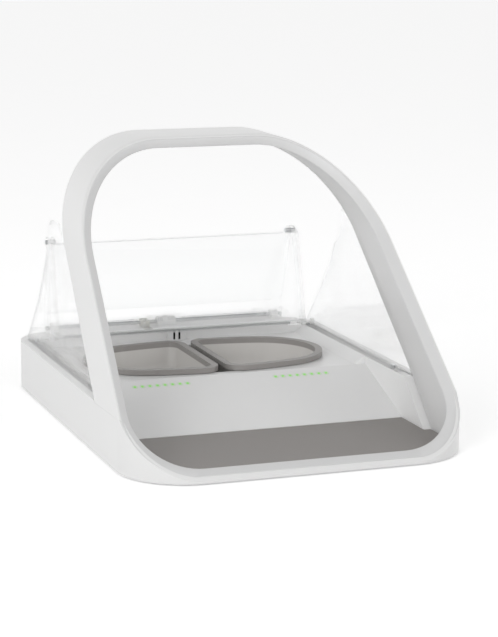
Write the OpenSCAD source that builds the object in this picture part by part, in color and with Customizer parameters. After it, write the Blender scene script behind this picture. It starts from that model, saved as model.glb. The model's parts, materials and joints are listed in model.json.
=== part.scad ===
// Automatic pet feeder: a tub with two half bowls and a sloping front deck, a raked tunnel hoop
// that reads the animal's tag, clear side screens, and a clear two-panel folding lid on a gear drive.
// Millimetres, +Z up, +Y to the back. Origin at the middle of the footprint, on the table.

/* [Body] */
// Overall width of the feeder
body_w = 232; // [230:1:236]
// Overall depth, front lip to rear wall
body_d = 318; // [317:1:320]
// Top of the hoop's outline above the table
hoop_h = 191; // [186:1:196]
// Plan radius of the two front corners
front_r = 45; // [42:1:48]
// Plan radius of the two rear corners
rear_r = 28; // [26:1:30]
// Wall of the tub
tub_wall = 2.4; // [2:0.1:2.7]
// Skin of the upper housing
skin = 2.2; // [1.8:0.1:2.4]

/* [Hoop] */
// Width of the hoop's front lip, seen from the front
lip_w = 7.8; // [7.6:0.1:8.4]
// Radius of the hoop's two top corners
top_r = 74; // [70:1:76]
// How far the front plane of the hoop leans back for each millimetre of height
rake = 1.131; // [1.1:0.005:1.15]

/* [Bowls] */
// Half length of the oval that the two bowls make together
oval_a = 88; // [86:0.5:90]
// Gap between the two bowls
bowl_gap = 5; // [4:0.5:7]
// Height of the bowl rims above the table
bowl_z = 34; // [33:0.25:34.5]

/* [Lid] */
// Length of each of the two lid links, pivot to pivot
link = 70; // [68:0.5:70.5]
// Angle of each link above level when the lid stands open
fold = 75; // [72:0.5:76]
// Panel thickness
pane = 2; // [1.6:0.1:2]

/* [Lights] */
// Distance between neighbouring lights
led_pitch = 5.39; // [5:0.01:5.5]
// Radius of one light
led_r = 0.85; // [0.7:0.05:0.9]

/* [Hidden] */
$fn = 64;
foot_z = 1;                         // underside of the tub
lip_z = 2.5;                        // where the raked front plane begins
lean = 5.5;                         // how far each side of the hoop leans in
floor_z = 4.8;                      // top of the tub floor
deck_z = 30;                        // deck round the bowls
rim_z = 35.5;                       // flat rim at the sides
rear_z = 37.5;                      // rear deck under the lid hinge
basin_y = 125;                      // rear wall of the bowl basin
ramp_y0 = 5;                        // top edge of the sloping front deck
ramp_y1 = -61;                      // its bottom edge, where the mat begins
mat_z = 6.6;                        // top of the mat
ramp = atan((deck_z - mat_z) / (ramp_y0 - ramp_y1));
led_x0 = 32.3;                      // inner end of each row of lights
led_s = 8.2;                        // rows below the deck edge, along the slope
oval_b = 49;                        // half width of the bowl oval
oval_y = 58;                        // its centre
hinge = [0, 150, 40];               // rear lid pivot
knuckle = hinge + link * [0, -cos(fold), sin(fold)];
edge = hinge + 2 * link * [0, -cos(fold), 0];
sector_r = 9;
small_r = 4;
big_r = 6.3;
pinion_r = 3;
idler = hinge + (sector_r + small_r) * [0, -sin(30), -cos(30)];
motor = idler + (big_r + pinion_r) * [0, -cos(25), -sin(25)];
button_x = [30, 48, 66];
button_z = 32;
screws = [[98, 10, 29.4], [60, -16, 21.2], [100, 134, 34]];

white = [0.95, 0.95, 0.95];
grey = [0.62, 0.61, 0.6];
clear = [0.8, 0.88, 0.92, 0.35];
dark = [0.15, 0.15, 0.16];
steel = [0.75, 0.76, 0.78];
nylon = [0.85, 0.84, 0.78];
green = [0.35, 0.8, 0.3];

// ---------- helpers ----------
module along_x(x0, x1) translate([x0, 0, 0]) rotate([90, 0, 90]) linear_extrude(x1 - x0) children();
module along_y(y0, y1) translate([0, y1, 0]) rotate([90, 0, 0]) linear_extrude(y1 - y0) children();
module slabz(z0, z1) translate([0, 0, z0]) linear_extrude(z1 - z0) children();
module box(a, b) translate(a) cube(b - a);
module both() { children(); mirror([1, 0, 0]) children(); }
module ramp_frame() translate([0, ramp_y0, deck_z]) rotate([ramp, 0, 0]) children();

function front_y(z, d = 0) = -body_d / 2 + rake * (z - lip_z) + d * sqrt(1 + rake * rake);
function back_y(z, d = 0) = -102.5 + 1.07 * z - d * 1.4645;
function split_z(y) = 32.5 - 0.025 * y;

// Footprint of the tub, moved inwards by i.
module plan(i = 0) {
    w = body_w / 2;
    d = body_d / 2;
    translate([-w + i, -d + front_r]) square([2 * (w - i), 2 * d - front_r - rear_r]);
    translate([-w + front_r, -d + i]) square([2 * (w - front_r), d]);
    translate([-w + rear_r, 0]) square([2 * (w - rear_r), d - i]);
    for (s = [-1, 1]) {
        translate([s * (w - front_r), -d + front_r]) circle(r = front_r - i);
        translate([s * (w - rear_r), d - rear_r]) circle(r = rear_r - i);
    }
}

// Front outline of the hoop, moved inwards by i: straight sides that lean in, round top corners.
module arch(i = 0) {
    w = body_w / 2;
    cx = w - lean - top_r;
    cz = hoop_h - top_r;
    polygon([[-w + i, 0], [w - i, 0], [w - i, rim_z], [w - lean - i, cz], [cx, cz], [-cx, cz],
             [-w + lean + i, cz], [-w + i, rim_z]]);
    for (s = [-1, 1]) translate([s * cx, cz]) circle(r = top_r - i);
    translate([-cx, cz - 1]) square([2 * cx, top_r - i + 1]);
}

// Solid bounded by footprint and hoop outline.
module form(i) intersection() {
    slabz(0, hoop_h) plan(i);
    along_y(-body_d / 2, body_d / 2) arch(i);
}

// Leaning slice of space between a plane d0 behind the front face and one d1 before the rear face.
module band(d0, d1, z0, z1) along_x(-body_w, body_w)
    polygon([[front_y(z0, d0), z0], [back_y(z0, d1), z0], [back_y(z1, d1), z1], [front_y(z1, d0), z1]]);
module front_slice(d0, d1, z0, z1) along_x(-body_w, body_w)
    polygon([[front_y(z0, d0), z0], [front_y(z0, d1), z0], [front_y(z1, d1), z1], [front_y(z1, d0), z1]]);
module rear_slice(d0, d1, z0, z1) along_x(-body_w, body_w)
    polygon([[back_y(z0, d1), z0], [back_y(z0, d0), z0], [back_y(z1, d0), z1], [back_y(z1, d1), z1]]);

// Everything above the line where the tub and the upper half meet.
module above_split() along_x(-body_w, body_w)
    polygon([[-body_d, split_z(-body_d)], [body_d, split_z(body_d)], [body_d, 220], [-body_d, 220]]);

// ---------- bowls ----------
// Oval of four arcs, moved inwards by i. The end arcs take over just before the flatter ones run out.
module oval(i = 0) {
    re = 44;
    cx = oval_a - re;
    rs = (cx * cx + oval_b * oval_b - re * re) / (2 * (oval_b - re));
    cut = cx * rs / (rs - re) - 3;
    intersection() {
        translate([0, oval_b - rs]) circle(r = rs - i, $fn = 200);
        translate([0, rs - oval_b]) circle(r = rs - i, $fn = 200);
        translate([-cut, -oval_b]) square([2 * cut, 2 * oval_b]);
    }
    for (s = [-1, 1]) translate([s * cx, 0]) circle(r = re - i);
}
module rounded(x0, y0, x1, y1, r) {
    translate([x0 + r, y0]) square([x1 - x0 - 2 * r, y1 - y0]);
    translate([x0, y0 + r]) square([x1 - x0, y1 - y0 - 2 * r]);
    for (x = [x0 + r, x1 - r], y = [y0 + r, y1 - r]) translate([x, y]) circle(r = r);
}
module half_oval(i = 0) translate([0, oval_y]) intersection() {
    oval(i);
    rounded(bowl_gap / 2 + i, -oval_b + i, oval_a + 20, oval_b - i, 13 - i);
}
module bowl() {
    slabz(11, 12.6) half_oval(3.4);
    slabz(12.6, bowl_z - 3.6) bowl_wall();
    slabz(bowl_z - 3.6, bowl_z - 1.4) {
        bowl_wall();
        difference() {
            half_oval(0);
            half_oval(1.6);
        }
    }
    slabz(bowl_z - 1.4, bowl_z) difference() {
        half_oval(0);
        half_oval(5);
    }
}
module bowl_wall() difference() {
    half_oval(3.4);
    half_oval(5);
}

// ---------- tub ----------
module lower_body() color(white) {
    difference() {
        intersection() {
            slabz(foot_z, 45) plan(0);
            along_x(-body_w, body_w) polygon([[-body_d / 2, foot_z], [body_d, foot_z],
                [body_d, split_z(body_d)], [front_y(36.8), split_z(front_y(36.8))], [-body_d / 2, lip_z]]);
        }
        slabz(floor_z, 60) plan(tub_wall);
        both() box([34, 122, 0], [88, 155, 10]);
        both() box([30.7, 106.6, 0], [91.3, 157.3, 2.3]);
        both() for (s = screws) {
            translate([s[0], s[1], 0]) cylinder(r = 1.6, h = 10);
            translate([s[0], s[1], 0]) cylinder(r = 3.3, h = 3.9);
        }
    }
    for (x = [-52, 52], y = [-38, -8]) translate([x, y, floor_z]) cylinder(r = 2.5, h = 2.2);
}

// ---------- upper housing ----------
// Filled shape of the housing, moved inwards and down by i.
module housing_fill(i) {
    slabz(floor_z - 1, rim_z - i) plan(i);
    box([-90 + i, basin_y - 6, 10], [90 - i, body_d / 2 - 2 - i, rear_z - i]);
}
// Space above the deck, the sloping front and the basin, grown by e. The basin's sides slope beside
// the bowls, stand upright beside the front slope, and give way to the hoop's walls inside the hoop.
module basin(e) intersection() {
    union() {
        along_y(ramp_y0, basin_y + e) polygon([[-95 - e, -10], [95 + e, -10], [95 + e, deck_z - e],
            [103 + e, rim_z], [103 + e, 80], [-103 - e, 80], [-103 - e, rim_z], [-95 - e, deck_z - e]]);
        box([-103 - e, -body_d, -10], [103 + e, ramp_y0 + e, 80]);
        along_x(-body_w, body_w) polygon([[-body_d, -10], [back_y(-10) + 0.3 + e, -10],
            [back_y(80) + 0.3 + e, 80], [-body_d, 80]]);
    }
    along_x(-body_w, body_w) polygon([[basin_y + e, 80], [basin_y + e, deck_z - e],
        [ramp_y0 + e * 0.13, deck_z - e], [ramp_y1, mat_z - e], [ramp_y1, -10], [-body_d, -10], [-body_d, 80]]);
}
module upper_housing() color(white) {
    difference() {
        intersection() {
            difference() {
                housing_fill(0);
                basin(0);
                difference() {
                    housing_fill(skin);
                    basin(skin);
                }
            }
            union() {
                above_split();
                slabz(0, 60) plan(tub_wall + 0.3);
            }
            union() {
                along_x(-body_w, body_w) polygon([[back_y(0) + 0.3, 0], [back_y(45) + 0.3, 45],
                    [body_d, 45], [body_d, 0]]);
                form(lip_w + 0.3);
            }
            box([-body_w, -100, floor_z], [body_w, body_d, 60]);
        }
        translate([0, oval_y, 0]) slabz(9, 60) oval(2.4);
        led_holes(1);
        box([-21, 134, 30], [-14, 157.5, 42]);
        for (x = button_x) translate([x, 150, button_z]) rotate([-90, 0, 0]) cylinder(r = 2.5, h = 20);
        both() for (y = [-38, 124]) translate([106.2, y, 30]) cylinder(r = 1.3, h = 10);
    }
    difference() {
        translate([0, oval_y, 0]) slabz(7.4, deck_z - 0.5) oval(0.8);
        translate([0, oval_y, 0]) slabz(9, 60) oval(2.4);
        both() translate([45, oval_y, 0]) cylinder(r = 5.5, h = 20);
    }
    both() for (s = screws) translate([s[0], s[1], 0]) difference() {
        translate([0, 0, floor_z]) cylinder(r = 4, h = s[2] - floor_z);
        cylinder(r = 1.45, h = 14);
    }
    hinge_post(-7, 7);
    both() hinge_post(84, 89.6);
}
module hinge_post(x0, x1) difference() {
    union() {
        box([x0, 145, rear_z - 1], [x1, 155, hinge[2]]);
        along_x(x0, x1) translate([hinge[1], hinge[2]]) circle(r = 4);
    }
    along_x(x0 - 1, x1 + 1) translate([hinge[1], hinge[2]]) circle(r = 1.56);
}

// ---------- hoop ----------
module hoop_shell() color(white) intersection() {
    difference() {
        form(0);
        form(3.6);
    }
    band(0, 0, 20, hoop_h);
    above_split();
}
module hoop_liner() color(grey) {
    intersection() {
        ring(3.9, lip_w);
        front_slice(2.4, 4.8, floor_z, hoop_h);
    }
    intersection() {
        ring(lip_w - 1.8, lip_w);
        band(4.8, 2.3, floor_z, hoop_h);
    }
    intersection() {
        ring(3.9, lip_w);
        rear_slice(0.3, 2.3, rim_z + 0.8, hoop_h);
    }
}
module ring(a, b) difference() {
    form(a);
    form(b);
}
module antenna_coil() color([0.72, 0.45, 0.2]) intersection() {
    difference() {
        form(4.1);
        form(5.7);
    }
    front_slice(10, 20, 12, hoop_h);
}

// ---------- mat ----------
module mat() color(grey) intersection() {
    slabz(floor_z, mat_z) plan(lip_w + 0.6);
    union() {
        box([-body_w, -body_d, 0], [body_w, -98, 20]);
        box([-102.6, -body_d, 0], [102.6, ramp_y1 - 0.8, 20]);
    }
}

// ---------- scales ----------
module platform() {
    slabz(9.6, 11) half_oval(8);
    translate([45, oval_y, 7.2]) cylinder(r = 4, h = 2.6);
}
module load_cell() difference() {
    union() {
        box([20, oval_y - 7, 5], [70, oval_y + 7, 7.2]);
        box([20, oval_y - 7, floor_z], [32, oval_y + 7, 5]);
    }
    box([40, oval_y - 3, 0], [50, oval_y + 3, 6.2]);
}

// ---------- side screens ----------
module screen() difference() {
    union() {
        along_x(108.6, 110.6) polygon([[back_y(rim_z) + 0.6, rim_z], [back_y(135) + 0.6, 135], [64, 134.5],
            [69.5, 130], [74, 115], [87, 92], [105, 69], [133, 40], [135.5, rim_z]]);
        box([103.6, -50, rim_z], [109, 134, rim_z + 1.8]);
    }
    for (y = [-38, 124]) translate([106.2, y, 30]) cylinder(r = 1.3, h = 20);
}
module screen_screws() color(steel) both() for (y = [-38, 124]) translate([106.2, y, rim_z - 2.2]) {
    cylinder(r = 1.2, h = 4);
    translate([0, 0, 4.05]) cylinder(r = 1.9, h = 0.9);
}

// ---------- sensor and lights ----------
module sensor_post() color(white) difference() {
    box([-7, basin_y - 3.2, deck_z], [7, basin_y, rear_z]);
    for (x = [-1.8, 2.2]) box([x - 0.75, basin_y - 5, 31], [x + 0.75, basin_y - 2, 36.5]);
}
module ir_windows() color(dark)
    for (x = [-1.8, 2.2]) box([x - 0.7, basin_y - 3, 31.1], [x + 0.7, basin_y - 2, 36.4]);
module led_holes(k) ramp_frame() for (s = [-1, 1], i = [0 : 7])
    translate([s * (led_x0 + i * led_pitch), -led_s, -6]) cylinder(r = led_r + 0.15, h = 12);
module leds(s) color(green) ramp_frame() for (i = [0 : 7])
    translate([s * (led_x0 + i * led_pitch), -led_s, -2.8]) cylinder(r = led_r, h = 3);
module led_board() color([0.1, 0.35, 0.2]) ramp_frame() difference() {
    box([-76, -led_s - 4, -4.2], [76, -led_s + 4, -2.8]);
    box([-2, -led_s - 5, -5], [2, -led_s, 0]);
}
module main_board() color([0.1, 0.35, 0.2]) {
    box([-54, -42, 7], [54, -3, 8.4]);
    box([-20, -28, 8.4], [-4, -12, 10]);
    box([12, -26, 8.4], [24, -16, 10.2]);
    translate([-40, -20, 8.4]) cylinder(r = 3.5, h = 5);
    box([30, -12, 8.4], [52, -6, 12]);
}

// ---------- lid ----------
// Both lid links are drawn lying closed and then swung up to the open position.
module lid_rear_panel() color(clear) translate(hinge) rotate([-fold, 0, 0]) {
    box([-93.2, -link + 4.5, 8 - pane], [93.2, -9, 8]);
    both() difference() {
        along_x(90.8, 93.2) {
            circle(r = 4);
            translate([-link, 0]) circle(r = 4);
            polygon([[-link, -3.5], [0, -3.5], [3, 2.6], [-9, 8], [-link + 4.5, 8], [-link - 2, 3.4]]);
        }
        along_x(90, 94) circle(r = 1.52);
        along_x(90, 94) translate([-link, 0]) circle(r = 1.65);
    }
}
module lid_drive_shaft() color(steel) translate(hinge) along_x(-93.2, 93.2) circle(r = 1.5);
module lid_front_panel() color(clear) translate(knuckle) rotate([fold, 0, 0]) difference() {
    union() {
        box([-96, -link - 1, 12 - pane], [96, -3, 12]);
        box([-96, -link - 1, -1.5], [96, -link + 1, 12]);
        both() along_x(94, 96) {
            circle(r = 4.2);
            polygon([[-link - 1, -2], [0, -4], [3.4, 2.4], [-3, 12], [-link - 1, 12]]);
        }
    }
    both() along_x(92.9, 97) {
        circle(r = 1.62);
        translate([-link, 0]) circle(r = 1.22);
    }
}
module lid_knuckle_pins() color(steel) translate(knuckle) both() along_x(89.6, 97.2) circle(r = 1.6);
module lid_shoes() color(white) translate(edge) both() {
    along_x(93, 106.6) circle(r = 1.2);
    along_x(96.3, 99.3) circle(r = 2.4);
    along_x(104, 106.6) circle(r = 2.3);
}
module lid_edge_seal() color(dark) translate(knuckle) rotate([fold, 0, 0])
    box([-88, -link - 0.9, -4], [88, -link + 0.9, -1.5]);

// ---------- lid drive ----------
module gear(r, teeth, x0, x1, bore) along_x(x0, x1) difference() {
    union() {
        circle(r = r - 0.8);
        for (k = [0 : teeth - 1]) rotate(k * 360 / teeth)
            polygon([[r - 1.2, -0.55], [r - 0.1, -0.3], [r - 0.1, 0.3], [r - 1.2, 0.55]]);
    }
    circle(r = bore);
}
module lid_sector_gear() color(nylon) translate(hinge) {
    intersection() {
        gear(sector_r, 28, -20, -15, 1.51);
        along_x(-20, -15) rotate(-120 - (fold - 2) / 2) polygon([[0, 0], [13, -11], [16, 0], [13, 11]]);
    }
    along_x(-20, -15) difference() {
        circle(r = 3.2);
        circle(r = 1.51);
    }
}
module idler_gear() color(nylon) translate(idler) {
    gear(small_r, 12, -20, -14, 0.8);
    gear(big_r, 20, -14, -10.5, 0.8);
}
module motor_pinion() color(nylon) translate(motor) gear(pinion_r, 9, -14, -10.5, 0.8);
module lid_motor() color(steel) translate(motor) {
    along_x(-8, 18) circle(r = 7);
    along_x(-14, -8) circle(r = 0.76);
}
module gear_bracket() color(nylon) {
    difference() {
        box([-9.6, 127.4, floor_z + 18], [-8.1, 152, 35]);
        translate(motor) along_x(-12, 0) circle(r = 1.5);
        translate(idler) along_x(-12, 0) circle(r = 0.76);
    }
    difference() {
        box([-9.6, 127.4, floor_z], [-8.1, 152, floor_z + 18.1]);
        box([-12, 132, floor_z + 3], [0, 146, floor_z + 8]);
        translate(motor) along_x(-12, 0) circle(r = 1.5);
    }
    translate(idler) along_x(-20.5, -8.1) circle(r = 0.76);
}

// ---------- buttons ----------
module button(x) translate([x, 0, button_z]) rotate([-90, 0, 0]) {
    translate([0, 0, 151]) cylinder(r = 2.3, h = body_d / 2 - 151.2);
    translate([0, 0, 151]) cylinder(r = 2.9, h = 1.6);
}
module button_board() color([0.1, 0.35, 0.2]) {
    box([24, 145, 27], [72, 146.4, 35]);
    for (x = button_x) box([x - 2.5, 146.4, 29.5], [x + 2.5, 149, 34.5]);
}

// ---------- power ----------
module battery_cells() color([0.3, 0.32, 0.35]) both() for (y = [131, 146.5]) translate([0, y, 12.6]) {
    along_x(36.5, 85.5) circle(r = 7.1);
    along_x(85, 86.6) circle(r = 2.7);
}
module battery_contacts() color(steel) both() {
    box([86.8, 125, 6], [87.4, 153, 18]);
    box([35.5, 125, 6], [36.2, 153, 18]);
}
module battery_door() difference() {
    box([31, 119, 1], [91, 157, 2.2]);
    for (k = [0 : 4]) box([52, 123 + 2.4 * k, 0], [70, 124.2 + 2.4 * k, 1.4]);
}

// ---------- feet and screws ----------
module rubber_feet() color(dark) both() {
    translate([66, -132, 0]) cylinder(r = 8, h = foot_z);
    translate([102, 104, 0]) cylinder(r = 8, h = foot_z);
}
module case_screws() color(steel) both() for (s = screws) translate([s[0], s[1], 0]) {
    translate([0, 0, 2.6]) cylinder(r = 3, h = 1.2);
    translate([0, 0, 3.7]) cylinder(r = 1.4, h = 8);
}

lower_body();
upper_housing();
hoop_shell();
hoop_liner();
antenna_coil();
mat();
color(grey) mirror([1, 0, 0]) bowl();  // bowl_left
color(grey) bowl();  // bowl_right
color(steel) mirror([1, 0, 0]) platform();  // scale_platform_left
color(steel) platform();  // scale_platform_right
color(steel) mirror([1, 0, 0]) load_cell();  // load_cell_left
color(steel) load_cell();  // load_cell_right
color(clear) mirror([1, 0, 0]) screen();  // screen_left
color(clear) screen();  // screen_right
screen_screws();
sensor_post();
ir_windows();
leds(-1);  // status_leds_left
leds(1);  // status_leds_right
led_board();
main_board();
lid_rear_panel();
lid_drive_shaft();
lid_sector_gear();
lid_front_panel();
lid_knuckle_pins();
lid_shoes();
lid_edge_seal();
idler_gear();
motor_pinion();
lid_motor();
gear_bracket();
button_board();
color(grey) button(button_x[0]);  // button_open
color(grey) button(button_x[1]);  // button_add
color(grey) button(button_x[2]);  // button_zero
battery_cells();
battery_contacts();
color(white) mirror([1, 0, 0]) battery_door();  // battery_door_left
color(white) battery_door();  // battery_door_right
rubber_feet();
case_screws();
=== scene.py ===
# %% [markdown]
# # An automatic pet feeder
# A white tub carries two grey half bowls under a clear folding lid. A raked hoop at the front reads
# the tag of the animal that puts its head through it. The frame below brings in every moulded part,
# hinge and gear at its real place and size, in metres, so the work here is form, edges and finishes.

# %% Load the frame
import json
import math
import bmesh
import bpy
from mathutils import Matrix, Vector


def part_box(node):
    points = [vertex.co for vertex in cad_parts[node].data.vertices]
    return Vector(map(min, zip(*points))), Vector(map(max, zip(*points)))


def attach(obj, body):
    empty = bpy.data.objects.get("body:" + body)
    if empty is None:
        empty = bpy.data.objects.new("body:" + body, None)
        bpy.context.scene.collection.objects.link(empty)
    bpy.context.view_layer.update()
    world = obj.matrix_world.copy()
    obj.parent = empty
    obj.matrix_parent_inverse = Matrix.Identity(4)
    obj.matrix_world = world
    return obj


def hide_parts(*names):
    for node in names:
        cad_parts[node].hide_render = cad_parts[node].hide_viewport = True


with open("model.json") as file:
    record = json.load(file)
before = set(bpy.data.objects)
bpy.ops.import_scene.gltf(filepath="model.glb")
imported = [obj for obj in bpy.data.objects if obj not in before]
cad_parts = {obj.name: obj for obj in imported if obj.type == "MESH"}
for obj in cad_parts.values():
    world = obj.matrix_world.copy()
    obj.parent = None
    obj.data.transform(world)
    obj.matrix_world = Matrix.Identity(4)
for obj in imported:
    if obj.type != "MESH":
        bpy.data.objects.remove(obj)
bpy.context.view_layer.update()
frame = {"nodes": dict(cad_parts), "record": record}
bodies = frame["record"]["behaviour"]["bodies"]
body_of = {node: body for body, nodes in bodies.items() for node in nodes}
slot_of = {row["node"]: row["material_slot"] for row in frame["record"]["subparts"]}
MM = 0.001

# %% [markdown]
# ## Camera
# The feeder is seen from its front left corner and a little above, through a long lens, so its
# sides run almost parallel. The camera is placed on a sphere round a point inside the hoop.

# %% Camera
AIM = Vector((0.0, -0.040, 0.080))
AZIMUTH, ELEVATION, ROLL = map(math.radians, (-19.9, 11.19, 0.32))
DISTANCE, LENS = 1.4086, 118.7

lens = bpy.data.cameras.new("studio_camera")
lens.lens = LENS
lens.sensor_width = 36
lens.shift_x, lens.shift_y = -0.0026, -0.0055
camera = bpy.data.objects.new("studio_camera", lens)
back = Vector((math.sin(AZIMUTH) * math.cos(ELEVATION), -math.cos(AZIMUTH) * math.cos(ELEVATION),
               math.sin(ELEVATION)))
turn = (-back).to_track_quat("-Z", "Y").to_matrix() @ Matrix.Rotation(ROLL, 3, "Z")
camera.matrix_world = Matrix.Translation(AIM + back * DISTANCE) @ turn.to_4x4()
bpy.context.scene.collection.objects.link(camera)
bpy.context.scene.camera = camera
print("camera at", [round(c, 3) for c in camera.location])

# %% [markdown]
# ## Studio
# A pale room lights the white plastic from all round, brighter near the horizon than overhead, so
# faces that look up come out greyer than the sides. One broad lamp at the left shapes the hoop, and
# a weaker one at the right lifts its shadows. The floor is one large flat sheet.

# %% Floor and light
def area_light(name, at, look, size, watts):
    """A soft square lamp that faces a point."""
    lamp = bpy.data.lights.new(name, "AREA")
    lamp.size = size
    lamp.energy = watts
    thing = bpy.data.objects.new(name, lamp)
    thing.location = at
    thing.rotation_euler = (Vector(look) - Vector(at)).to_track_quat("-Z", "Y").to_euler()
    bpy.context.scene.collection.objects.link(thing)

HORIZON, ZENITH = 1.08, 0.42
FADE_FROM, FADE_TO = 0.25, 0.9
world = bpy.data.worlds.new("studio")
bpy.context.scene.world = world
world.use_nodes = True
nodes, links = world.node_tree.nodes, world.node_tree.links
where = nodes.new("ShaderNodeTexCoord")
split = nodes.new("ShaderNodeSeparateXYZ")
height = nodes.new("ShaderNodeMapRange")
for socket, value in (("From Min", FADE_FROM), ("From Max", FADE_TO),
                      ("To Min", HORIZON), ("To Max", ZENITH)):
    height.inputs[socket].default_value = value
links.new(where.outputs["Generated"], split.inputs[0])
links.new(split.outputs["Z"], height.inputs["Value"])
links.new(height.outputs[0], nodes["Background"].inputs["Color"])
nodes["Background"].inputs["Strength"].default_value = 1.0
MIDDLE = (0, 0, 0.08)
area_light("key_light", (-1.2, -1.1, 0.7), MIDDLE, size=0.8, watts=9)
area_light("fill_light", (1.3, -0.8, 0.9), MIDDLE, size=0.9, watts=3)
bpy.context.scene.view_settings.view_transform = "Standard"

floor_bm = bmesh.new()
bmesh.ops.create_grid(floor_bm, x_segments=1, y_segments=1, size=6.0)
floor_mesh = bpy.data.meshes.new("floor")
floor_bm.to_mesh(floor_mesh)
floor_bm.free()
floor = bpy.data.objects.new("floor", floor_mesh)
bpy.context.scene.collection.objects.link(floor)
print("world and", len(bpy.data.lights), "lamps ready")

# %% [markdown]
# ## Finishes
# Almost everything here is injection moulded. A moulded face carries a very fine spark texture from
# its tool, a slow unevenness of gloss, and now and then a speck of dust. Each finish below gives the spark
# texture and the uneven gloss, with no dust, as the same small recipe with its own colour, gloss and grain
# size, on Object coordinates, in metres.

# %% Moulded plastic recipe
def new_finish(name):
    """An empty finish: its material, shader, and a maker of nodes."""
    made = bpy.data.materials.new(name)
    made.use_nodes = True
    tree = made.node_tree
    return made, tree.nodes["Principled BSDF"], tree.nodes, tree.links

def add_node(nodes, kind, **settings):
    """A shader node with its sockets set by name."""
    made = nodes.new(kind)
    for key, value in settings.items():
        made.inputs[key.replace("_", " ")].default_value = value
    return made

def moulded(name, dark, light, rough, grain=2600.0, depth=0.25, **sockets):
    """Moulded plastic: cloudy colour between two tones, uneven gloss and a fine grained bump."""
    made, shader, nodes, links = new_finish(name)
    place = nodes.new("ShaderNodeTexCoord")
    cloud = add_node(nodes, "ShaderNodeTexNoise", Scale=18.0, Detail=3.0)
    tone = nodes.new("ShaderNodeValToRGB")
    tone.color_ramp.elements[0].color = (*dark, 1.0)
    tone.color_ramp.elements[1].color = (*light, 1.0)
    gloss = add_node(nodes, "ShaderNodeMapRange", To_Min=rough * 0.85, To_Max=rough * 1.2)
    fine = add_node(nodes, "ShaderNodeTexNoise", Scale=grain, Detail=2.0)
    bump = add_node(nodes, "ShaderNodeBump", Strength=depth, Distance=0.00005)
    for texture in (cloud, fine):
        links.new(place.outputs["Object"], texture.inputs["Vector"])
    links.new(cloud.outputs["Fac"], tone.inputs["Fac"])
    links.new(tone.outputs["Color"], shader.inputs["Base Color"])
    links.new(cloud.outputs["Fac"], gloss.inputs["Value"])
    links.new(gloss.outputs[0], shader.inputs["Roughness"])
    links.new(fine.outputs["Fac"], bump.inputs["Height"])
    links.new(bump.outputs["Normal"], shader.inputs["Normal"])
    for key, value in sockets.items():
        shader.inputs[key.replace("_", " ")].default_value = value
    return made

finishes = {
    "white_plastic": moulded("white_plastic", (0.755, 0.755, 0.752), (0.785, 0.785, 0.782), 0.3),
    "lip_plastic": moulded("lip_plastic", (0.66, 0.66, 0.66), (0.69, 0.69, 0.69), 0.38),
    "mat_vinyl": moulded("mat_vinyl", (0.25, 0.235, 0.225), (0.285, 0.268, 0.255), 0.55, 1500.0, 0.6),
    "bowl_plastic": moulded("bowl_plastic", (0.27, 0.257, 0.247), (0.3, 0.286, 0.275), 0.42, 2200.0),
    "nylon": moulded("nylon", (0.72, 0.72, 0.67), (0.77, 0.76, 0.72), 0.5),
    "dark_plastic": moulded("dark_plastic", (0.008, 0.008, 0.01), (0.014, 0.013, 0.016), 0.12),
    "rubber": moulded("rubber", (0.018, 0.018, 0.018), (0.03, 0.03, 0.03), 0.75, 1200.0, 0.8),
    "seal_silicone": moulded("seal_silicone", (0.6, 0.61, 0.61), (0.66, 0.67, 0.67), 0.35, 900.0,
                             Transmission_Weight=0.35, IOR=1.41),
    "cell_wrap": moulded("cell_wrap", (0.04, 0.045, 0.05), (0.07, 0.075, 0.085), 0.28),
    "button_plastic": moulded("button_plastic", (0.33, 0.33, 0.34), (0.38, 0.38, 0.39), 0.45),
}
print(len(finishes), "moulded finishes")

# %% [markdown]
# Steel and copper are brushed or drawn, so their gloss is streaked along one axis. The boards are
# green solder mask with a faint weave of glass under it. The lights are dyed lenses lit from behind.

# %% Metal, boards and lights
def drawn_metal(name, colour, rough, stretch):
    """Metal with gloss streaked along the axis whose stretch is smallest."""
    made, shader, nodes, links = new_finish(name)
    place = nodes.new("ShaderNodeTexCoord")
    turned = nodes.new("ShaderNodeMapping")
    turned.inputs["Scale"].default_value = stretch
    streak = add_node(nodes, "ShaderNodeTexNoise", Scale=1.0, Detail=4.0)
    gloss = add_node(nodes, "ShaderNodeMapRange", To_Min=rough * 0.6, To_Max=rough * 1.5)
    links.new(place.outputs["Object"], turned.inputs["Vector"])
    links.new(turned.outputs[0], streak.inputs["Vector"])
    links.new(streak.outputs["Fac"], gloss.inputs["Value"])
    links.new(gloss.outputs[0], shader.inputs["Roughness"])
    shader.inputs["Base Color"].default_value = (*colour, 1.0)
    shader.inputs["Metallic"].default_value = 1.0
    return made

finishes["steel"] = drawn_metal("steel", (0.6, 0.61, 0.62), 0.25, (40.0, 3000.0, 3000.0))
finishes["copper"] = drawn_metal("copper", (0.62, 0.27, 0.12), 0.35, (3000.0, 60.0, 3000.0))
finishes["board"] = moulded("board", (0.012, 0.11, 0.04), (0.02, 0.16, 0.06), 0.35, 900.0, 0.5)
finishes["light"] = moulded("light", (0.16, 0.42, 0.09), (0.2, 0.5, 0.12), 0.3,
                            Emission_Color=(0.25, 0.62, 0.14, 1.0), Emission_Strength=0.55)
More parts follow.
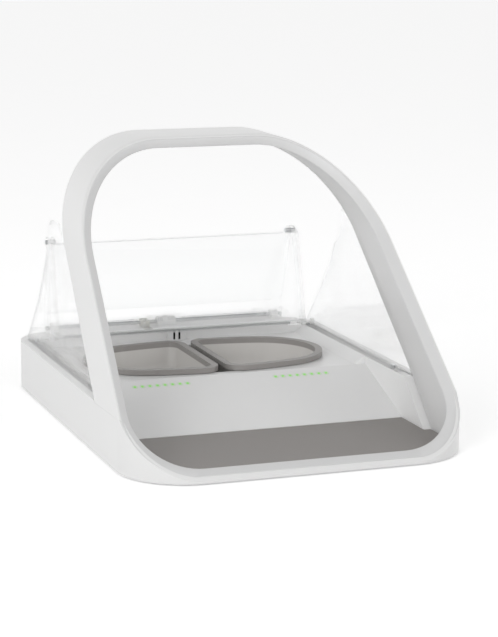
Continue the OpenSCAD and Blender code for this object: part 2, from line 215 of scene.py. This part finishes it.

# %% [markdown]
# The lid and the side screens are clear acrylic. They pass almost all light face on, and their edges
# gather it, so they show mostly as thin dark and bright outlines. The dark outline is painted, as a nearly
# opaque dark grey finish on the rounded edges. A trace of haze and fine wiping marks in the gloss keep the
# sheet from vanishing altogether. Part of the light goes straight through, without bending, so what lies
# behind the sheets isn't left in their shadow.

# %% Clear plastic
def clear_sheet(name, tint, alpha, through=1.0):
    """Clear acrylic with a breath of haze and faint wiping marks."""
    made, shader, nodes, links = new_finish(name)
    place = nodes.new("ShaderNodeTexCoord")
    marks = add_node(nodes, "ShaderNodeTexNoise", Scale=55.0, Detail=5.0, Distortion=1.5)
    gloss = add_node(nodes, "ShaderNodeMapRange", From_Min=0.45, To_Min=0.015, To_Max=0.07)
    links.new(place.outputs["Object"], marks.inputs["Vector"])
    links.new(marks.outputs["Fac"], gloss.inputs["Value"])
    links.new(gloss.outputs[0], shader.inputs["Roughness"])
    shader.inputs["Base Color"].default_value = (*tint, 1.0)
    shader.inputs["Transmission Weight"].default_value = through
    shader.inputs["IOR"].default_value = 1.49
    shader.inputs["Alpha"].default_value = alpha
    return made

finishes["clear_plastic"] = clear_sheet("clear_plastic", (0.975, 0.982, 0.982), alpha=0.3)
# Painted shade: a nearly opaque dark grey finish for the rounded edges of the clear parts, standing in for
# the dark line at a clear sheet's rim.
clear_painted_dark_edge = clear_sheet("clear_painted_dark_edge", (0.1, 0.105, 0.11), alpha=0.92, through=0.3)
print("clear sheet and its edge finish made")

# %% [markdown]
# The studio floor is matt and nearly white, with the faintest mottling of a paper sweep. It throws
# back less light than it shows, so the tub's sides turn greyer towards the floor, as they do when
# the real sweep is lit on its own.

# %% Floor finish
sweep = moulded("paper_sweep", (0.93, 0.93, 0.93), (0.95, 0.95, 0.95), 0.9, 700.0, 0.1,
                Emission_Color=(1.0, 1.0, 1.0, 1.0), Emission_Strength=0.3, Specular_IOR_Level=0.0)
BOUNCE = (0.74, 0.74, 0.74, 1.0)
tree = sweep.node_tree
light_path = tree.nodes.new("ShaderNodeLightPath")
shade = add_node(tree.nodes, "ShaderNodeBsdfDiffuse", Color=BOUNCE)
blend = tree.nodes.new("ShaderNodeMixShader")
tree.links.new(light_path.outputs["Is Diffuse Ray"], blend.inputs[0])
tree.links.new(tree.nodes["Principled BSDF"].outputs[0], blend.inputs[1])
tree.links.new(shade.outputs[0], blend.inputs[2])
tree.links.new(blend.outputs[0], tree.nodes["Material Output"].inputs["Surface"])
floor_mesh.materials.append(sweep)
print("floor finish:", floor_mesh.materials[0].name)

# %% [markdown]
# Every node of the frame gets its finish now, so a part that is carried over unchanged is finished
# too. The parts that are remade below take theirs from the same table.

# %% Finish every node
for name, piece in frame["nodes"].items():
    piece.data.materials.clear()
    piece.data.materials.append(finishes[slot_of[name]])
print("every node has its finish")

# %% [markdown]
# ## Working on the moulded parts
# A part from the frame arrives as loose triangles with knife-sharp corners. Real mouldings have a
# small radius on every edge, and that radius is what catches the light. The helper merges a copy of
# the part, melts its flat faces together, and lets a Bevel modifier round what is still sharp.

# %% Softened copies
def finish_piece(name, bm, like, recolour=None, sharp=35.0):
    """Turn a bmesh into a smooth shaded piece that stands for a node of the frame."""
    bmesh.ops.remove_doubles(bm, verts=bm.verts, dist=1e-6)
    mesh = bpy.data.meshes.new(name)
    bm.to_mesh(mesh)
    bm.free()
    piece = bpy.data.objects.new(name, mesh)
    bpy.context.scene.collection.objects.link(piece)
    mesh.materials.append(recolour or finishes[slot_of[like]])
    mesh.polygons.foreach_set("use_smooth", [True] * len(mesh.polygons))
    mesh.set_sharp_from_angle(angle=math.radians(sharp))
    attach(piece, body_of[like])
    return piece

def merged_copy(node):
    """A clean bmesh of a node: doubles merged, flat faces joined."""
    bm = bmesh.new()
    bm.from_mesh(frame["nodes"][node].data)
    bmesh.ops.remove_doubles(bm, verts=bm.verts, dist=2e-6)
    bmesh.ops.dissolve_limit(bm, angle_limit=math.radians(0.6), use_dissolve_boundaries=False,
                             verts=bm.verts, edges=bm.edges)
    return bm

def round_edges(piece, width, segments=3, angle=32.0):
    """Round every edge sharper than the angle."""
    bevel = piece.modifiers.new("moulded_edges", "BEVEL")
    bevel.width = width
    bevel.segments = segments
    bevel.limit_method = "ANGLE"
    bevel.angle_limit = math.radians(angle)
    bevel.use_clamp_overlap = True
    bevel.harden_normals = False
    bevel.miter_outer = "MITER_ARC"

def soften(node, name, width, segments=3):
    """A softened copy that replaces a node."""
    piece = finish_piece(name, merged_copy(node), node)
    round_edges(piece, width, segments)
    # Clear parts wear the painted dark edge on their rounded faces.
    if slot_of[node] == "clear_plastic":
        piece.data.materials.append(clear_painted_dark_edge)
        piece.modifiers["moulded_edges"].material = 1
    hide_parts(node)
    print(name, "has", len(piece.data.polygons), "faces before rounding")
    return piece

# %% [markdown]
# ## The hoop
# The hoop is two mouldings: a white cover outside, and a grey liner whose front lip flares like a
# funnel so the antenna behind it sits close to the animal's neck. Both are one outline swept back
# between two leaning planes. The outline starts as one flat rectangle, its corners are rounded with
# bevels, and each ring of the sweep is a copy of it, inset and sheared onto its plane.

# %% Outline of the hoop
HALF, TOP, FOOT, RIM = 116 * MM, 191 * MM, 2.5 * MM, 35.5 * MM
LEAN, TOP_R, FRONT_R = 5.5 * MM, 74 * MM, 45 * MM
SHOULDER = TOP - TOP_R
RAKE, REAR_RAKE = 1.131, 1.07
SQUARE = 2.5 * MM
FRONT_Y, REAR_Y = -161.83 * MM, -102.5 * MM

def bevel_corners(bm, corners, radius, turn_angle, segments):
    """Round corners of a flat outline that turns by the given angle."""
    reach = radius * math.tan(turn_angle / 2)
    bmesh.ops.bevel(bm, geom=corners, offset=reach, offset_type="OFFSET", affect="VERTICES",
                    segments=segments, profile=0.5, material=-1)

def hoop_ring(bm, inset, setback, rear=False, sill=None, corner=None):
    """Add one ring of the sweep and return its edges. Sill caps how high the foot is inset."""
    flat = bmesh.new()
    low = FOOT + (inset if sill is None else sill) / RAKE
    corners = [flat.verts.new((x * (HALF - inset), 0, z)) for x, z in ((-1, low), (1, low))]
    corners += [flat.verts.new((HALF - inset, 0, RIM)), flat.verts.new((-HALF + inset, 0, RIM))]
    lower = flat.faces.new(corners)
    top_edge = [e for e in lower.edges if all(v.co.z > RIM - MM for v in e.verts)]
    grown = bmesh.ops.extrude_edge_only(flat, edges=top_edge)["geom"]
    upper = [v for v in grown if isinstance(v, bmesh.types.BMVert)]
    narrow = LEAN * (TOP - RIM) / (SHOULDER - RIM)
    for v in upper:
        v.co = Vector((math.copysign(HALF - inset - narrow, v.co.x), 0, TOP - inset))
    bmesh.ops.dissolve_edges(flat, edges=top_edge, use_verts=False)
    tilt = math.atan2(LEAN, SHOULDER - RIM)
    bevel_corners(flat, upper, TOP_R - inset, math.pi / 2 - tilt, 28)
    stretch = Matrix.Diagonal((1, 1, RAKE, 1))
    bmesh.ops.transform(flat, matrix=stretch, verts=flat.verts)
    feet = [v for v in flat.verts if v.co.z < low * RAKE + 0.1 * MM]
    if corner is None:
        corner = SQUARE if rear else FRONT_R - inset * 0.6
    bevel_corners(flat, feet, corner, math.pi / 2, 16)
    bmesh.ops.transform(flat, matrix=stretch.inverted(), verts=flat.verts)
    slope, start = (REAR_RAKE, REAR_Y) if rear else (RAKE, FRONT_Y)
    for v in flat.verts:
        v.co.y = start + slope * v.co.z + setback
    bmesh.ops.delete(flat, geom=list(flat.faces), context="FACES_ONLY")
    keep = bpy.data.meshes.new("ring")
    flat.to_mesh(keep)
    flat.free()
    before = set(bm.edges)
    bm.from_mesh(keep)
    bpy.data.meshes.remove(keep)
    return [e for e in bm.edges if e not in before]

def sweep_rings(stations):
    """Join rings in order, and the last to the first, into one closed tube."""
    bm = bmesh.new()
    rings = [hoop_ring(bm, **station) for station in stations]
    for one, two in zip(rings, rings[1:] + rings[:1]):
        bmesh.ops.bridge_loops(bm, edges=one + two)
    bmesh.ops.recalc_face_normals(bm, faces=bm.faces)
    return bm

# %% [markdown]
# The cover stands on the tub, so its sweep is cut off along the parting line and the cut is closed.
# Its front edge has a real radius, which shows as the bright line that runs right round the hoop.
# The liner's lip begins just inside that line.

# %% White cover
PART_Z, PART_FALL = 32.6 * MM, 0.025
cover_bm = sweep_rings([
    dict(inset=0.0, setback=-0.4 * MM, rear=True), dict(inset=0.0, setback=2.4 * MM),
    dict(inset=0.12 * MM, setback=1.3 * MM), dict(inset=0.5 * MM, setback=0.5 * MM),
    dict(inset=1.1 * MM, setback=0.15 * MM), dict(inset=1.5 * MM, setback=0.4 * MM),
    dict(inset=1.8 * MM, setback=6 * MM), dict(inset=3.4 * MM, setback=8 * MM),
    dict(inset=3.4 * MM, setback=-0.6 * MM, rear=True), dict(inset=0.8 * MM, setback=0.0, rear=True)])
cut = bmesh.ops.bisect_plane(cover_bm, geom=cover_bm.verts[:] + cover_bm.edges[:] + cover_bm.faces[:],
                             plane_co=(0, 0, PART_Z), plane_no=(0, PART_FALL, 1), clear_inner=True)
bmesh.ops.holes_fill(cover_bm, edges=[e for e in cut["geom_cut"] if isinstance(e, bmesh.types.BMEdge)])
cover = finish_piece("hoop_cover", cover_bm, "hoop_shell", sharp=50)
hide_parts("hoop_shell")
print("cover:", len(cover.data.polygons), "faces")

# %% [markdown]
# The tub's front corners are round and its sides are straight, so the hoop's foot has round corners
# at the lip that tighten with every ring further back, until they stand square against the sides.

# %% Grey liner with its flared lip
SILL, DEEP = 5.3 * MM, 1.0 * MM
liner_bm = sweep_rings([
    dict(inset=1.45 * MM, setback=0.5 * MM, sill=1.2 * MM),
    dict(inset=1.9 * MM, setback=0.3 * MM, sill=1.6 * MM),
    dict(inset=7.2 * MM, setback=6.2 * MM, sill=SILL),
    dict(inset=7.75 * MM, setback=7.2 * MM, sill=SILL),
    dict(inset=7.8 * MM, setback=9.0 * MM, sill=DEEP),
    dict(inset=7.8 * MM, setback=18.0 * MM, sill=DEEP, corner=17 * MM),
    dict(inset=7.8 * MM, setback=30.0 * MM, sill=DEEP, corner=6 * MM),
    dict(inset=7.8 * MM, setback=-2.4 * MM, rear=True, sill=DEEP),
    dict(inset=7.2 * MM, setback=-1.0 * MM, rear=True, sill=DEEP),
    dict(inset=4.0 * MM, setback=-0.6 * MM, rear=True, sill=DEEP),
    dict(inset=4.0 * MM, setback=-3.4 * MM, rear=True, sill=DEEP),
    dict(inset=6.0 * MM, setback=-4.0 * MM, rear=True, sill=DEEP / 2),
    dict(inset=6.0 * MM, setback=30.0 * MM, sill=DEEP / 2, corner=7 * MM),
    dict(inset=6.0 * MM, setback=18.0 * MM, sill=DEEP / 2, corner=18.5 * MM),
    dict(inset=6.0 * MM, setback=9.0 * MM, sill=DEEP / 2),
    dict(inset=1.9 * MM, setback=4.0 * MM, sill=DEEP / 2)])
liner = finish_piece("hoop_lip", liner_bm, "hoop_liner", sharp=40)
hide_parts("hoop_liner")
print("liner:", len(liner.data.polygons), "faces")

# %% [markdown]
# ## Tub and housing
# The tub is a deep tray with a generous radius where its wall turns under, so that edge is rounded
# first and on its own. The housing on top holds the deck, the basin and the slope.

# %% Tub
SAME = 0.02 * MM
HALF_DEPTH = 159 * MM
NEAR_EDGE, OUTSIDE = 0.86, 115 * MM

def on_rim(edge, level):
    """Is this edge on the outer outline of the underside, between the bottom and a wall?"""
    flat = all(abs(v.co.z - level) < SAME for v in edge.verts)
    walled = len(edge.link_faces) == 2 and any(
        abs(f.normal.z) < 0.2 and f.calc_center_median().z > level for f in edge.link_faces)
    reach = max(max(abs(v.co.x) / HALF, abs(v.co.y) / HALF_DEPTH) for v in edge.verts)
    return flat and walled and reach > NEAR_EDGE and min(v.co.xy.length for v in edge.verts) > OUTSIDE

tub_bm = merged_copy("lower_body")
under = min(v.co.z for v in tub_bm.verts)
turned = [e for e in tub_bm.edges if on_rim(e, under)]
bmesh.ops.bevel(tub_bm, geom=turned, offset=1.3 * MM, offset_type="OFFSET", affect="EDGES",
                segments=4, profile=0.5, material=-1, clamp_overlap=True)
tub = finish_piece("tub", tub_bm, "lower_body")
round_edges(tub, 0.45 * MM)
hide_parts("lower_body")
print("tub underside rim:", len(turned), "edges turned under")

# %% [markdown]
# The status lights shine through short wells in the slope, and their green light spills onto the white
# plastic round each one. That spill is painted light: a green tint in the housing's colour. The housing's
# finish works out how far a point is from the nearest light along the row and down the slope, and tints it
# by that distance.

# %% A finish whose colour can follow a place
def placed_copy(slot, name):
    """A copy of a finish, with the object's X, Y and Z and the socket of its present colour."""
    copied = finishes[slot].copy()
    copied.name = name
    nodes, links = copied.node_tree.nodes, copied.node_tree.links
    place = nodes.new("ShaderNodeTexCoord")
    axis = nodes.new("ShaderNodeSeparateXYZ")
    links.new(place.outputs["Object"], axis.inputs[0])
    colour = nodes["Principled BSDF"].inputs["Base Color"].links[0].from_socket
    return copied, axis.outputs, colour

def mix_colours(finish, factor, one, two):
    """Mix two colours by a factor and feed the finish's shader. Each is a socket or a colour."""
    nodes, links = finish.node_tree.nodes, finish.node_tree.links
    mixer = nodes.new("ShaderNodeMix")
    mixer.data_type = "RGBA"
    for socket, colour in (("A", one), ("B", two)):
        if isinstance(colour, tuple):
            mixer.inputs[socket].default_value = colour
        else:
            links.new(colour, mixer.inputs[socket])
    links.new(factor, mixer.inputs["Factor"])
    links.new(mixer.outputs["Result"], nodes["Principled BSDF"].inputs["Base Color"])

# %% [markdown]
# The painted glow is plain arithmetic on the object's own coordinates. Along the row, a remainder by the
# pitch gives the distance to the nearest light; down the slope, it is the distance to the row's line.

# %% Housing finish with the painted green glow
DECK_Z, MAT_Z, SLOPE_FOOT = 30 * MM, 6.6 * MM, -61 * MM
PITCH, FIRST, DOWN, EDGE = 5.39 * MM, 32.3 * MM, 8.2 * MM, 5 * MM
SLOPE = math.atan2(DECK_Z - MAT_Z, EDGE - SLOPE_FOOT)
LIGHTS, PAINTED_GLOW_REACH = 8, 2.7 * MM

def math_node(nodes, links, how, left, right=None, clamp=False):
    """One Math node; each input is a socket or a number."""
    made = nodes.new("ShaderNodeMath")
    made.operation = how
    made.use_clamp = clamp
    for slot, value in zip(made.inputs, (left, right)):
        if isinstance(value, (int, float)):
            slot.default_value = value
        elif value is not None:
            links.new(value, slot)
    return made.outputs[0]

housing_white_painted_glow, axis, plain_white = placed_copy("white_plastic", "housing_white_painted_glow")

def calc(how, left, right=None, clamp=False):
    """A Math node in the housing's finish."""
    return math_node(housing_white_painted_glow.node_tree.nodes, housing_white_painted_glow.node_tree.links, how, left, right, clamp)

along = calc("SUBTRACT", calc("ABSOLUTE", axis["X"]), FIRST - PITCH / 2)
inside = calc("MULTIPLY", calc("GREATER_THAN", along, 0.0), calc("LESS_THAN", along, LIGHTS * PITCH))
across = calc("SUBTRACT", calc("MODULO", along, PITCH), PITCH / 2)
down = calc("SUBTRACT", axis["Y"], EDGE - DOWN * math.cos(SLOPE))
far = calc("SQRT", calc("ADD", calc("MULTIPLY", across, across), calc("MULTIPLY", down, down)))
# Painted light: the green spill round each status light, mixed into the plastic's colour and fading out at
# the glow's reach.
painted_glow = calc("MULTIPLY", calc("SUBTRACT", 1.0, calc("DIVIDE", far, PAINTED_GLOW_REACH), True), inside)
mix_colours(housing_white_painted_glow, calc("MULTIPLY", painted_glow, 0.85, True), plain_white, (0.42, 0.75, 0.30, 1.0))
print("slope of the deck's front:", round(math.degrees(SLOPE), 1), "degrees")

# %% Housing
housing = finish_piece("housing", merged_copy("upper_housing"), "upper_housing", housing_white_painted_glow)
round_edges(housing, 0.5 * MM)
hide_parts("upper_housing")
print("housing:", len(housing.data.polygons), "faces")

# %% [markdown]
# ## Bowls
# Each bowl is half of an oval, pressed with soft inside corners so it wipes clean. A copy of the
# part keeps its rim. The two loops where the wall meets the bottom are rounded with a wide bevel,
# one inside and one outside, which keeps the wall's thickness, and the bottom is drawn in a little.
# The band round the rim is painted darker than the tub below it. This is painted shade, standing in for
# the shade on the rim's inner wall, so the finish changes tone at one height.

# %% Bowl finish
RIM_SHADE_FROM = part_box("bowl_left")[1][2] - 3.6 * MM
bowl_painted_rim_shade, axis, rim_shade_grey = placed_copy("bowl_plastic", "bowl_painted_rim_shade")
rim_shade_edge = add_node(bowl_painted_rim_shade.node_tree.nodes, "ShaderNodeMapRange",
                     From_Min=RIM_SHADE_FROM - 0.4 * MM, From_Max=RIM_SHADE_FROM)
bowl_painted_rim_shade.node_tree.links.new(axis["Z"], rim_shade_edge.inputs["Value"])
# Painted shade: above the line the bowl takes the darker grey, and below it the lighter grey.
mix_colours(bowl_painted_rim_shade, rim_shade_edge.outputs[0], (0.6, 0.585, 0.565, 1.0), rim_shade_grey)
print("rim band starts at", round(RIM_SHADE_FROM, 4))

# %% Bowls
FLOOR, TAPER, TAPER_HIGH = 1.6 * MM, 0.05, 15 * MM

def soft_bowl(side):
    """One bowl with a rounded, slightly tapered tub and a small radius on its rim."""
    node = "bowl_" + side
    bm = merged_copy(node)
    low = min(v.co.z for v in bm.verts)
    centre = sum((v.co for v in bm.verts), Vector()) / len(bm.verts)
    for level, reach in ((low, 7 * MM), (low + FLOOR, 6 * MM)):
        loop = [e for e in bm.edges if all(abs(v.co.z - level) < SAME for v in e.verts)
                and len(e.link_faces) == 2 and any(abs(f.normal.z) < 0.3 for f in e.link_faces)]
        bmesh.ops.bevel(bm, geom=loop, offset=reach, offset_type="OFFSET", affect="EDGES",
                        segments=6, profile=0.5, material=-1)
    for v in bm.verts:
        sunk = max(0.0, (low + TAPER_HIGH - v.co.z) / TAPER_HIGH)
        v.co.x += (centre.x - v.co.x) * TAPER * sunk
        v.co.y += (centre.y - v.co.y) * TAPER * sunk
    piece = finish_piece("food_bowl_" + side, bm, node, bowl_painted_rim_shade, sharp=40)
    round_edges(piece, 0.45 * MM, 3, 50.0)
    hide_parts(node)
    print(piece.name, len(piece.data.polygons), "faces")

for side in ("left", "right"):
    soft_bowl(side)

# %% [markdown]
# ## Clear parts and small fittings
# The lid panels and the screens keep their own shape. A small radius on every edge is what draws
# them: it bends the pale room into the bright lines that a clear sheet shows at its rim. The dark lines
# there are painted shade, a nearly opaque dark grey finish that the radius wears.

# %% Lid, screens, mat and fittings
SOFTENED = (("lid_front_panel", "lid_front_pane", 0.45), ("lid_rear_panel", "lid_rear_pane", 0.45),
            ("screen_left", "side_screen_left", 0.45), ("screen_right", "side_screen_right", 0.45),
            ("sensor_post", "sensor_pillar", 0.4),
            ("lid_shoes", "lid_sliders", 0.35), ("rubber_feet", "feet", 0.3),
            ("battery_door_left", "battery_cover_left", 0.25),
            ("battery_door_right", "battery_cover_right", 0.25),
            ("button_open", "open_button", 0.3), ("button_add", "add_button", 0.3),
            ("button_zero", "zero_button", 0.3), ("ir_windows", "sensor_windows", 0.15),
            ("lid_edge_seal", "lid_seal", 0.3))
for node, name, width in SOFTENED:
    soften(node, name, width * MM)

# %% [markdown]
# The mat's front edge is tucked under the lip, so its softened copy ends just behind the lip's edge.

# %% Mat
MAT_FRONT = -147.2 * MM
mat_bm = merged_copy("mat")
for v in mat_bm.verts:
    v.co.y = max(v.co.y, MAT_FRONT)
front_mat = finish_piece("front_mat", mat_bm, "mat")
round_edges(front_mat, 0.6 * MM)
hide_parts("mat")
print("mat's front edge at", round(min(v.co.y for v in front_mat.data.vertices), 4))
